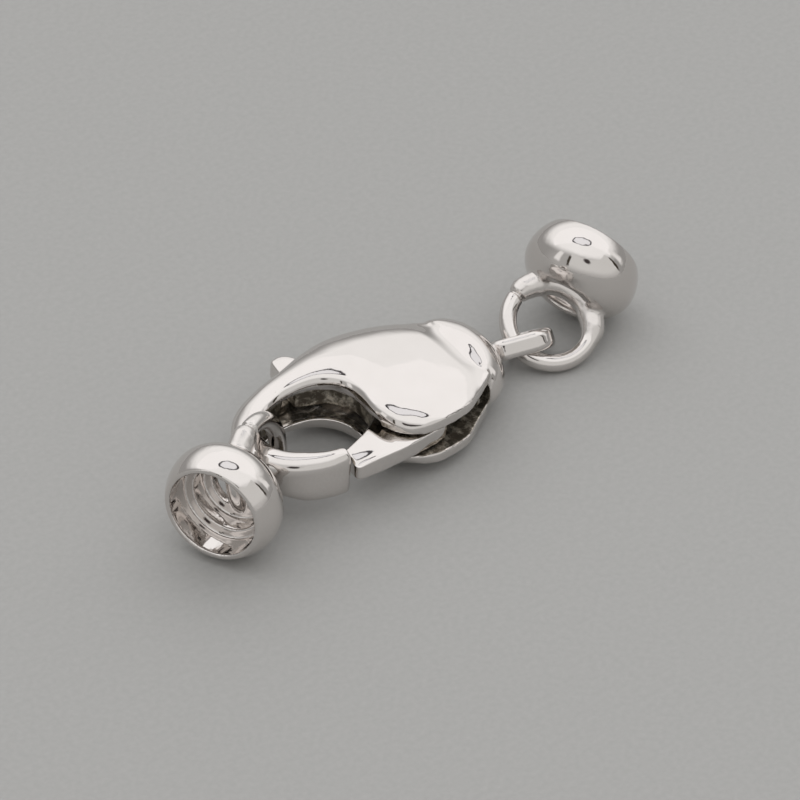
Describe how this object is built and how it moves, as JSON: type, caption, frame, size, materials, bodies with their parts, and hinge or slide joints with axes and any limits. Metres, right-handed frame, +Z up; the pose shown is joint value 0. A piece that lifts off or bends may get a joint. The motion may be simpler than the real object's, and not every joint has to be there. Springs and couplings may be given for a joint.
{
  "type": "lobster clasp with glue-in cord ends",
  "caption": "Polished metal lobster clasp with a pivoting gate lever, linked by soldered jump rings to a rounded hollow cord cup at each end.",
  "frame": {"origin": "on the table, under the middle of the whole finding's box", "axes": "+X along the clasp from the claw to the collar, +Y to the thumb tab's side, +Z up off the table"},
  "size_m": [0.039, 0.0136, 0.0079],
  "materials": {
    "polished_plate": "polished rhodium or silver plate",
    "spring_wire": "dull steel wire"
  },
  "bodies": {
    "clasp": {"clasp_body": "polished_plate", "lever_pin": "polished_plate", "lever_spring": "spring_wire", "end_eye": "polished_plate", "hook_end_cup": "polished_plate", "eye_end_cup": "polished_plate"},
    "gate_lever": {"lever": "polished_plate"}
  },
  "joints": [
    {"name": "gate_pivot", "type": "hinge", "parent": "clasp", "child": "gate_lever", "pos_m": [-0.00113, -0.00386, 0.00272], "axis": [0.0523, 0, 0.9986], "range_deg": [-16, 0], "stiffness_Nm_per_rad": 0.004, "springref_deg": 4.58}
  ]
}
